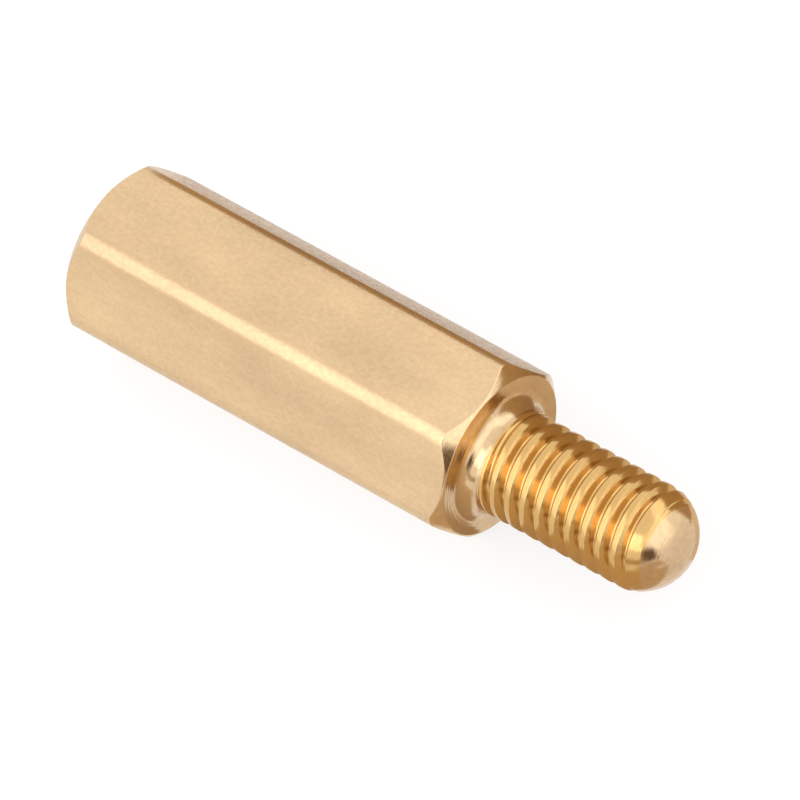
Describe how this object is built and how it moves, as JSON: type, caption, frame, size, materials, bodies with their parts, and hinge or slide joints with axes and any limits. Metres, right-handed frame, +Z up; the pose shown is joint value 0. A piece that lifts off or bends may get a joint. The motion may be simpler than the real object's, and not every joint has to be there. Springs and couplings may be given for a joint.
{
  "type": "hex standoff",
  "caption": "Male-female hex standoff: a hexagonal brass body with a round-tipped threaded stud at one end and a blind tapped hole at the other.",
  "frame": {"origin": "centre of the shoulder face, where the stud leaves the hex body", "axes": "+X along the axis, out through the stud; +Z up, normal to the flat opposite the one it lies on"},
  "size_m": [0.0192, 0.0052, 0.0048],
  "materials": {
    "brass": "bright drawn brass: fine lengthwise grain on the flats, turning marks on the shoulder, polished thread"
  },
  "bodies": {
    "root": {"hex_standoff": "brass"}
  },
  "joints": []
}
